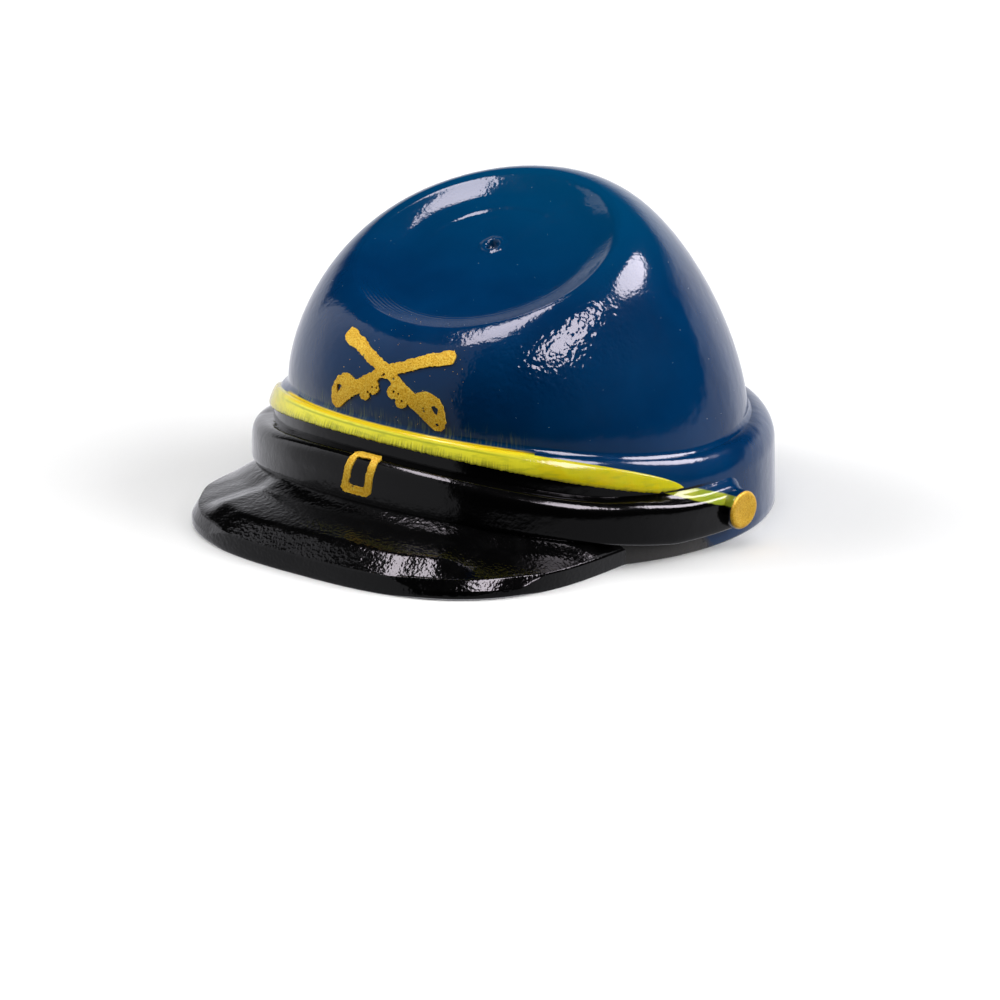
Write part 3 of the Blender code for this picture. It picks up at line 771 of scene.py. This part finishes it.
def buckle_mesh(strap):
    """The painted frame, laid up the strap's outer side and over its top."""
    half_width, half_height = BUCKLE_WIDTH / 2, BUCKLE_HEIGHT / 2

    def frame_outline(width, height, corner):
        return [(width - corner, -height), (width, -height + corner), (width, height - corner),
                (width - corner, height), (-width + corner, height), (-width, height - corner),
                (-width, -height + corner), (-width + corner, -height)]

    outer = frame_outline(half_width, half_height, 0.1 * MM)
    inner = frame_outline(half_width - BUCKLE_BAR, half_height - BUCKLE_BAR, 0.05 * MM)
    # painted by hand: it leans to the side and narrows towards its top
    outlines = []
    for outline, seed in ((outer, 5), (inner, 8)):
        rises = [(y + half_height) / BUCKLE_HEIGHT for _, y in outline]
        leaned = [(x * (1 - rise * 0.1) + rise * 0.18 * MM, y) for (x, y), rise in zip(outline, rises)]
        outlines.append(rough_outline(leaned, 0.03 * MM, 0.02 * MM, seed))
    plate = ink_plate("buckle_ink", outlines, 0.08 * MM)
    # radii and heights up the strap's outer side and over its top, in the middle of the front
    profile = [(STRAP.radius - inset * MM, mix(STRAP_BOTTOM_FRONT, STRAP_TOP_FRONT, share))
               for _, share, inset in STRAP_SECTION[1:11]]
    bends = through(profile, 6)
    lengths = np.concatenate([[0.0], np.cumsum(np.hypot(*np.diff(bends, axis=0).T))])

    def foot_of(x, y):
        """Radius, height and outward direction at a point of the drawing."""
        wanted = lengths[-1] / 2 + BUCKLE_RAISE + y
        index = int(np.clip(np.searchsorted(lengths, wanted) - 1, 0, len(bends) - 2))
        along = (bends[index + 1] - bends[index]) / (lengths[index + 1] - lengths[index])
        spot = bends[index] + along * (wanted - lengths[index])
        return spot, (along[1], -along[0])

    def start(x, y):
        (radius, height), (out, rise) = foot_of(x, y)
        reach = 0.25 * MM
        spot = polar(radius + out * reach, x / STRAP.radius, height + rise * reach)
        return Vector(spot) + Vector((0.0, AXIS_Y, 0.0))

    def direction(x, y):
        _, (out, rise) = foot_of(x, y)
        return -Vector(polar(out, x / STRAP.radius, rise))

    return lay_on(plate, strap, start, direction)


# ---------------- finishes

BLUE = (0.0, 0.031, 0.107)
BLUE_DEEP = (0.0, 0.023, 0.084)
# painted light: the paler blue of the crown's better-lit top
BLUE_LIT_TOP = (0.0, 0.052, 0.137)
BLACK = (0.0011, 0.0011, 0.0012)
# painted reflection: grey for black paint where it mirrors the pale table
BLACK_PAINTED_REFLECTION = (0.055, 0.053, 0.052)
# painted highlight: the stripe's lighter, paler yellow in front
YELLOW_LIT_FRONT = (0.92, 0.86, 0.045)
YELLOW = (0.6, 0.53, 0.004)
# painted highlight: the warm lit edge where the ledge's top faces up
YELLOW_LIT_EDGE = (0.97, 0.7, 0.008)
YELLOW_GREEN = (0.27, 0.33, 0.02)
GOLD = (0.86, 0.46, 0.014)
GOLD_LIGHT = (1.0, 0.76, 0.12)
GOLD_DARK = (0.44, 0.2, 0.006)
PAINT_EDGE = 0.03 * MM        # how soft the border between two paints is
TURNING_LINE = 0.1 * MM       # from one turning line on the dish's wall to the next


class Finish(Tree):
    """A material: its tree, its places on the cap in metres and radians, and its shader."""

    def __init__(self, name, level=0.5):
        self.material = bpy.data.materials.new(name)
        self.material.use_nodes = True
        super().__init__(self.material.node_tree)
        self.shader = self.tree.nodes["Principled BSDF"]
        self.feed("Specular IOR Level", level)
        self.spot = self.read("Object", "ShaderNodeTexCoord")
        self.x, y, self.z = self.parts(self.spot)
        self.ahead = AXIS_Y - y
        self.angle = bearing(self.x, self.ahead)
        self.turned = size_of(self.angle)

    def feed(self, name, value):
        plug(self.shader.inputs[name], value)

    def done(self, colour, roughness):
        self.feed("Base Color", colour)
        self.feed("Roughness", roughness)
        return self.material

    def grain(self, size, detail=2.0, roughness=0.5):
        """Noise from about 0 to 1 whose forms are about that size, in millimetres."""
        sockets = {"Vector": self.spot, "Scale": 1 / (size * MM), "Detail": detail, "Roughness": roughness}
        return self.read("Fac", "ShaderNodeTexNoise", sockets)

    def streaks(self, across, along, detail=2.0):
        """Noise stretched up and down the band: sizes are in millimetres across and along a stroke."""
        spot = self.vector(self.angle * (6.3 / across), self.z * (1 / (along * MM)), 0.0)
        return self.read("Fac", "ShaderNodeTexNoise", {"Vector": spot, "Scale": 1.0, "Detail": detail})

    def past(self, value, edge, width):
        """0 below an edge and 1 above it, over a width."""
        return sum_up("ADD", (value - edge) / width, 0.5, clamp=True)

    def round_past(self, degrees, width):
        """0 in front and 1 further round the cap than an angle, over a width."""
        return self.past(self.turned, radians(degrees), radians(width))

    def coats(self, colour, *coats):
        """A colour with others laid over it, each as far as its share says."""
        for share, over in coats:
            colour = self.blend(share, colour, over)
        return colour

    def relief(self, height, distance):
        self.feed("Normal", self.read("Normal", "ShaderNodeBump", {"Height": height, "Distance": distance}))


def paint_relief(finish, crackle, more=0.0):
    """Orange peel, and finer crackle where the share given for it is high."""
    peel = finish.grain(0.42, 1)
    fine = finish.grain(0.09, 1)
    finish.relief(peel * 0.4 + fine * crackle + more, 0.02 * MM)


def blue_body(finish):
    """The blue paint's colour, a little blotchy, and greener and paler on the top towards the back as painted
    light.
    """
    cloud = finish.grain(1.3, 2)
    colour = finish.blend(clamped(0.5 + (cloud - 0.5) * 2.0), BLUE_DEEP, BLUE)
    # painted light: the top, which catches more light, is painted paler and greener
    top = finish.past(finish.z, 7.0 * MM, 1.8 * MM)
    return finish.blend(top * 0.9, colour, BLUE_LIT_TOP)


def blue_gloss():
    finish = Finish("blue_gloss_crown")
    # short green strokes of the stripe's paint that ran up the crown's foot in front
    over_ledge = finish.z - ledge_height(finish.angle)
    stroke = finish.past(finish.streaks(0.06, 0.5), 0.54, 0.14)
    reach = 1 - finish.past(over_ledge, finish.streaks(0.25, 4) * 0.9 * MM - 0.16 * MM, 0.3 * MM)
    front = 1 - finish.round_past(36, 8)
    patchy = finish.past(finish.grain(0.5), 0.45, 0.2)
    # painted highlight: a warm lit edge on the crown's foot just above the ledge in front
    foot = (1 - finish.past(over_ledge, 0.0, 0.03 * MM)) * front
    colour = finish.coats(blue_body(finish), (clamped(stroke * reach * front * patchy) * 0.22, YELLOW_GREEN),
                          (foot, YELLOW_LIT_EDGE))
    # how far ahead in the tipped top's plane, and how far below it
    upright, level = cos(CROWN.crest_tilt), sin(CROWN.crest_tilt)
    forward = (finish.ahead + CREST_Y) * upright - (finish.z - CREST_Z) * level
    below = (CREST_Z - finish.z) * upright - (finish.ahead + CREST_Y) * level
    from_gate = square_root((finish.x - GATE_ACROSS) ** 2 + (forward - GATE_AHEAD) ** 2)
    wrinkled = 1 - finish.past(from_gate, 0.4 * MM, 0.5 * MM)
    # ragged along the crest, and netted with coarse wrinkles below it at one side in front
    ragged = 1 - finish.past(below, 1.0 * MM, 0.6 * MM)
    netted = finish.past(below, 0.24 * MM, 0.16 * MM) * (1 - finish.past(below, 1.5 * MM, 0.8 * MM))
    netted = netted * finish.past(finish.x, 2.4 * MM, 1.4 * MM) * finish.past(forward, 0.45 * MM, 0.4 * MM)
    net = finish.grain(0.15, 1) * netted
    # fine turning lines on the dish's wall in front
    from_axis = square_root(finish.x ** 2 + forward ** 2)
    turned = sine(from_axis * (2 * pi / TURNING_LINE) + finish.grain(1.0) * 3.0)
    wall = finish.past(from_axis, 2.65 * MM, 0.2 * MM) * (1 - finish.past(from_axis, 3.45 * MM, 0.1 * MM))
    wall = wall * finish.past(forward, 0.3 * MM, 1.0 * MM)
    paint_relief(finish, 0.06 + ragged * 0.12 + wrinkled * 0.5, net * 1.05 + turned * wall * 0.1)
    return finish.done(colour, 0.06 + finish.grain(0.5, 3) * 0.06)


def zone_paint(finish, bottom, top):
    """Black below the stripe, yellow in it and blue above, with wavering edges."""
    wave = (finish.streaks(0.12, 2) - 0.5) * 0.06 * MM
    above_bottom = finish.past(finish.z + wave, bottom, PAINT_EDGE)
    above_top = finish.past(finish.z + wave * 0.5, top, PAINT_EDGE)
    cloud = finish.grain(0.7, 2)
    yellow = finish.blend(clamped((cloud - 0.35) * 1.6), YELLOW_GREEN, YELLOW)
    return finish.coats(BLACK, (above_bottom, yellow), (above_top, blue_body(finish)))


def band_paint():
    finish = Finish("band_paint")
    front = 1 - finish.round_past(38, 3)
    top = stripe_top(finish.angle) - 0.02 * MM + front * 1.0 * MM
    behind = finish.past(finish.turned + (finish.grain(0.4) - 0.5) * 0.15, radians(83), radians(5))
    # painted highlight: a warm lit edge along the ledge's top in front
    lit_edge = front * finish.past(finish.z, ledge_height(finish.angle) - 0.12 * MM, 0.08 * MM)
    # painted reflection: the black lower skirt is painted grey where it mirrors the pale table
    skirt = (1 - finish.past(finish.z, 0.7 * MM, 0.3 * MM)) * (1 - behind)
    colour = finish.coats(zone_paint(finish, stripe_bottom(finish.angle), top), (behind, blue_body(finish)),
                          (lit_edge, YELLOW_LIT_EDGE), (skirt, BLACK_PAINTED_REFLECTION))
    paint_relief(finish, 0.08 + skirt * 0.3)
    return finish.done(colour, 0.08 + finish.grain(0.5, 3) * 0.08 + skirt * 0.2)


def end_paint(finish):
    """The paints where the stripe runs on over the strap and the button; behind the button all is blue."""
    bottom = 1.8 * MM - (finish.turned - radians(68)) * 2.15 * MM
    top = 1.79 * MM - (finish.turned - radians(76)) * 2.12 * MM
    behind = finish.past(finish.turned, BUTTON_ANGLE + radians(1), radians(2))
    return finish.blend(behind, zone_paint(finish, bottom, top), blue_body(finish))


def strap_paint():
    finish = Finish("strap_paint")
    sides = finish.round_past(58, 2)
    paint_relief(finish, 0.08 + finish.past(finish.grain(1.4), 0.5, 0.3) * 0.2)
    colour = finish.blend(sides, BLACK, end_paint(finish))
    return finish.done(colour, 0.08 + finish.grain(0.4, 3) * 0.1)


def black_gloss():
    finish = Finish("black_gloss_peak")
    worn = finish.past(finish.grain(0.5, 4), 0.62, 0.2)
    colour = finish.blend(worn * 0.6, BLACK, (0.0035, 0.0035, 0.0037))
    low = 1 - finish.past(finish.z, 0.8 * MM, 0.2 * MM)
    crumpled = finish.grain(0.16, 1) * (1 - low) * 0.5
    paint_relief(finish, 0.3 + low * 0.1 + finish.past(finish.grain(0.9), 0.5, 0.4) * 0.1, crumpled)
    return finish.done(colour, 0.1 - low * 0.02 + finish.grain(0.3, 3) * 0.05)


def yellow_paint():
    finish = Finish("yellow_brushed")
    # painted highlight: the stripe is painted lighter and paler in front and darker round the sides
    right = finish.round_past(38, 26)
    blotch = finish.past(finish.grain(0.6, 3), 0.5, 0.12)
    green = finish.past(finish.streaks(0.5, 0.12, 3.0), 0.58, 0.16)
    # the brush's bristles left fine marks along the lower edge in front
    front = 1 - finish.round_past(34, 12)
    cut = finish.past(finish.streaks(0.05, 1.5, 1.0), 0.52, 0.12)
    reach = 0.02 * MM + finish.streaks(0.3, 4) * 0.26 * MM
    bristles = cut * front * (1 - finish.past(finish.z - stripe_bottom(finish.angle), reach, 0.14 * MM))
    # a green line of painted shade and a warm edge of painted highlight just under the ledge's top, where it
    # turns up
    below_top = least(stripe_top(finish.angle), ledge_height(finish.angle)) - finish.z
    line = 1 - finish.past(size_of(below_top - 0.1 * MM), 0.02 * MM, 0.03 * MM)
    lit_edge = (1 - finish.past(below_top, 0.045 * MM, 0.03 * MM)) * front
    colour = finish.coats(YELLOW_LIT_FRONT, (right, YELLOW), (blotch * right * 0.7, (0.66, 0.5, 0.002)),
                          (green * 0.35, YELLOW_GREEN), (bristles * 0.5, (0.2, 0.22, 0.02)),
                          (line * front * 0.6, YELLOW_GREEN), (lit_edge, YELLOW_LIT_EDGE))
    strokes = finish.streaks(0.07, 0.8, 2.0)
    height = strokes * (0.15 + front * 0.3) + finish.grain(0.15, 2) * 0.3 - bristles * 0.5
    finish.relief(height, 0.02 * MM)
    return finish.done(colour, 0.08 + finish.grain(0.8, 3) * 0.12)


def gold_look(finish):
    """Speckled gold: fine light and dark flakes in ink."""
    flakes = finish.grain(0.035, 2.0, 0.7)
    dull = finish.past(finish.grain(0.5, 3), 0.55, 0.3)
    colour = finish.coats(GOLD, (finish.past(flakes, 0.56, 0.22), GOLD_LIGHT),
                          ((1 - finish.past(flakes, 0.4, 0.12)) * 0.7, GOLD_DARK), (dull * 0.25, GOLD_DARK))
    return colour, flakes


def gold_ink():
    finish = Finish("gold_speckled", 0.3)
    colour, flakes = gold_look(finish)
    # pinholes where the ink didn't take
    holes = finish.read("Distance", "ShaderNodeTexVoronoi", {"Vector": finish.spot, "Scale": 1 / (0.32 * MM)})
    pinhole = 1 - finish.past(holes, 0.1, 0.05)
    finish.feed("Metallic", 0.18 - pinhole * 0.18)
    finish.relief(flakes - pinhole, 0.008 * MM)
    return finish.done(finish.blend(pinhole * 0.85, colour, (0.02, 0.02, 0.02)), 0.34 + flakes * 0.25)


def button_paint():
    """Gold on the face, and the stripe's paint on the rim in front, which is blue behind."""
    finish = Finish("button_paint")
    colour, flakes = gold_look(finish)
    outward = size_of(finish.x) - (STRAP.end_radius + 0.19 * MM)
    face = finish.past(outward + (finish.grain(0.1) - 0.5) * 0.03 * MM, 0.0, 0.02 * MM)
    finish.feed("Metallic", face * 0.35)
    finish.relief(flakes * face * 0.5 + finish.grain(0.3) * 0.5, 0.01 * MM)
    colour = finish.coats(end_paint(finish), (face, finish.blend(0.2, colour, GOLD_DARK)))
    return finish.done(colour, 0.1 + face * (0.22 + flakes * 0.2))


def dust_look():
    finish = Finish("dust")
    tone = finish.grain(0.05, 1)
    return finish.done(finish.blend(tone, (0.75, 0.8, 0.85), (0.525, 0.56, 0.595)), 0.6)


# ---------------- studio

def facing(azimuth, elevation, roll):
    """The turn, in radians, of a lamp or camera that looks at the cap; azimuth 0 is straight in front."""
    return (Matrix.Rotation(azimuth, 4, "Z") @ Matrix.Rotation(pi / 2 - elevation, 4, "X")
            @ Matrix.Rotation(roll, 4, "Z"))


def softbox(name, azimuth, elevation, distance, width, height, radiance, roll=0.0, shines=True, oval=False):
    """An area light aimed at the cap, as bright over its face as radiance says, and turned by a roll.

    A box that shines shows in the gloss alone, and the others light the colours alone, so that
    the highlights and the light on the floor are set apart.
    """
    lamp = bpy.data.lights.new(name, "AREA")
    lamp.shape = "ELLIPSE" if oval else "RECTANGLE"
    lamp.size = 2 * distance * tan(radians(width / 2))
    lamp.size_y = 2 * distance * tan(radians(height / 2))
    lamp.energy = radiance * pi * lamp.size * lamp.size_y * (pi / 4 if oval else 1)
    lamp.color = (1.05, 0.965, 1.06) if shines else (1.0, 1.0, 1.0)
    holder = put_in_scene(name, lamp)
    turned = facing(radians(azimuth), radians(elevation), radians(roll))
    holder.matrix_world = Matrix.Translation((0, 0, 4 * MM)) @ turned @ Matrix.Translation((0, 0, distance))
    holder.visible_glossy = shines
    holder.visible_diffuse = not shines


def make_world():
    """What the gloss reflects: a pale table and backdrop low down, and a dim card in front to the left."""
    world = bpy.data.worlds.new("studio")
    world.use_nodes = True
    bpy.context.scene.world = world
    world.cycles_visibility.diffuse = False
    tree = Tree(world.node_tree)
    x, y, z = tree.parts(tree.read("Generated", "ShaderNodeTexCoord"))
    rise = sum_up("ARCSINE", z) / (pi / 2)
    turn = bearing(x, -y) / (2 * pi) + 0.5      # 0 and 1 behind the cap, 0.5 in front

    def round_curve(points, top=1.0):
        """A curve over the turn, from rows of degrees and a value."""
        return tree.curve(turn, [(angle / 360 + 0.5, value / top) for angle, value in points]) * top

    def edge(value, limit, softness):
        return smooth((value - limit) / softness + 0.5)

    # how high the backdrop reaches behind and how low the table begins in front, in degrees above -30
    reach = round_curve((
        (-180, 43), (-165, 48), (-150, 50), (-130, 52), (-115, 46), (-104, 38), (-90, 20), (0, 6), (30, 10),
        (60, 17), (90, 25), (120, 27.5), (150, 31), (158, 36), (168, 44), (180, 43)), 90)
    blur = round_curve((
        (-180, 12), (-150, 30), (-130, 40), (-115, 26), (-100, 10), (0, 5), (120, 5), (150, 6), (168, 14),
        (180, 12)), 90)
    backdrop = (1 - edge(rise * 90 + 30, reach, blur)) * round_curve((
        (-180, 0.95), (-150, 0.92), (-110, 0.85), (-60, 0.5), (0, 0.3), (58, 0.2), (80, 0.21), (108, 0.29),
        (133, 0.42), (155, 0.48), (168, 0.62), (180, 0.95)))
    # the card: its left and right limits in degrees, by how high it is looked at
    high_up = most(rise, 0.0)
    left = tree.curve(high_up, [(high / 90, (angle + 120) / 120) for high, angle in (
        (0, -106), (20, -99.5), (35, -93.5), (42, -90), (47, -85), (52, -78), (56, -70), (60, -62), (64, -50),
        (68, -35), (90, -35))]) * 120 - 120
    right = tree.curve(high_up, [(high / 90, angle / 20 + 0.5) for high, angle in (
        (0, 9), (40, 9), (45, 7), (52, 4), (58, 0), (66, -3), (90, -3))]) * 20 - 10
    angle = turn * 360 - 180
    card = edge(angle, left, 3.0) * (1 - edge(angle, right, 3.0)) * (1 - edge(rise * 90, 67.0, 3.0))
    card = card * round_curve((
        (-180, 0.9), (-95, 0.85), (-81, 0.64), (-66, 0.43), (-45, 0.36), (0, 0.3), (180, 0.3)))
    bright = most(backdrop, card) + 0.003
    colour = tree.blend(clamped(bright), (0.0, 0.0, 0.0), (1.0, 1.0, 1.06))
    plug(world.node_tree.nodes["Background"].inputs["Color"], colour)


def make_floor():
    finish = Finish("pale_floor", 0.2)
    tone = finish.grain(20, 2)
    mesh = bpy.data.meshes.new("floor")
    corners = [(x * 3.0, y * 3.0, -0.002 * MM) for x, y in ((-1, -1), (1, -1), (1, 1), (-1, 1))]
    mesh.from_pydata(corners, [], [(0, 1, 2, 3)])
    mesh.materials.append(finish.done(finish.blend(tone, (0.9, 0.9, 0.9), (0.93, 0.93, 0.93)), 0.7))
    floor = put_in_scene("floor", mesh)
    floor.visible_glossy = False
    floor.visible_diffuse = False


def make_camera():
    lens = bpy.data.cameras.new("photo_view")
    lens.sensor_width = 36.0
    lens.lens = VIEW_FOCUS / 1000 * lens.sensor_width
    lens.clip_start, lens.clip_end = 0.005, 20.0
    lens.shift_x, lens.shift_y = (pixels / 1000 for pixels in VIEW_SHIFT)
    # it stands where it looks straight at the target, and turns so that the target falls on its pixel
    round_by, up_by = (atan((pixel - 500) / VIEW_FOCUS) for pixel in VIEW_TARGET_PIXEL)
    stand = facing(VIEW_AZIMUTH, VIEW_ELEVATION, 0.0) @ Vector((0, 0, VIEW_DISTANCE))
    holder = put_in_scene("photo_view", lens)
    holder.matrix_world = (Matrix.Translation(VIEW_TARGET + stand)
                           @ facing(VIEW_AZIMUTH + round_by, VIEW_ELEVATION - up_by, VIEW_ROLL))
    bpy.context.scene.camera = holder


# ---------------- assembly

make_camera()

blue, black, yellow, gold = blue_gloss(), black_gloss(), yellow_paint(), gold_ink()
crown = crown_mesh(blue)
strap_finish = strap_paint()
strap = strap_mesh(strap_finish)

add_piece("crown_body", crown, blue, "crown")
add_piece("band_ring", band_mesh(), band_paint(), "band")
add_piece("peak_shade", peak_mesh(), black, "peak")
add_piece("chin_strap_bar", strap, strap_finish, "chin_strap")
add_piece("ledge_stripe", stripe_mesh(yellow), yellow, "hat_cord")
button_finish = button_paint()
for node_name, button_side in (("side_button_left", 1), ("side_button_right", -1)):
    name = node_name + "_boss"
    add_piece(name, button_mesh(name, button_side), button_finish, node_name)
buckle = add_piece("buckle_print", buckle_mesh(strap), gold, "strap_buckle")
buckle.visible_glossy = False     # its mirror image in the peak would be clearer than the real one's
add_piece("sabres_print", sabres_mesh(crown), gold, "crossed_sabres")


def on_outside(tree):
    """1 on the crown's outside, 0 in its hollow."""
    _, _, z = tree.parts(tree.read(0, "GeometryNodeInputPosition"))
    _, _, up = tree.parts(tree.read(0, "GeometryNodeInputNormal"))
    return clamped((z - 3 * MM) * 1e6) * clamped((up + 0.6) * 1e3)


def round_badge(tree):
    x, y, z = tree.parts(tree.read(0, "GeometryNodeInputPosition"))
    away = square_root((x - BADGE_X) ** 2 + (z - BADGE_Z) ** 2)
    return clamped((2.1 * MM - away) * 1e6) * clamped((-y - 3 * MM) * 1e6)


for name, finish, density, size, seed, region, slot in (
        ("dust_specks", dust_look(), 8e5, 0.009 * MM, 4, on_outside, "blue_gloss"),
        ("stray_ink", gold, 4e6, 0.011 * MM, 9, round_badge, "gold_ink")):
    add_piece(name, speck_mesh(name, crown.copy(), finish, density, size, seed, region), finish, None)

make_world()
make_floor()
softbox("key_right", 79, 50, 0.3, 33, 16, 13.0, roll=38)
softbox("key_back", 145, 43, 0.3, 28, 19, 12.5, roll=-25, oval=True)
softbox("overhead", -64, 76, 0.3, 27, 13.5, 10.5)
softbox("fill_above", 0, 85, 0.5, 60, 60, 1.45, shines=False)
softbox("fill_right", 90, 20, 0.5, 40, 40, 2.9, shines=False)
softbox("fill_back", 130, 30, 0.5, 40, 40, 5.3, shines=False)
softbox("fill_left", -60, 30, 0.5, 40, 40, 5.6, shines=False)
bpy.context.scene.view_settings.view_transform = "Standard"
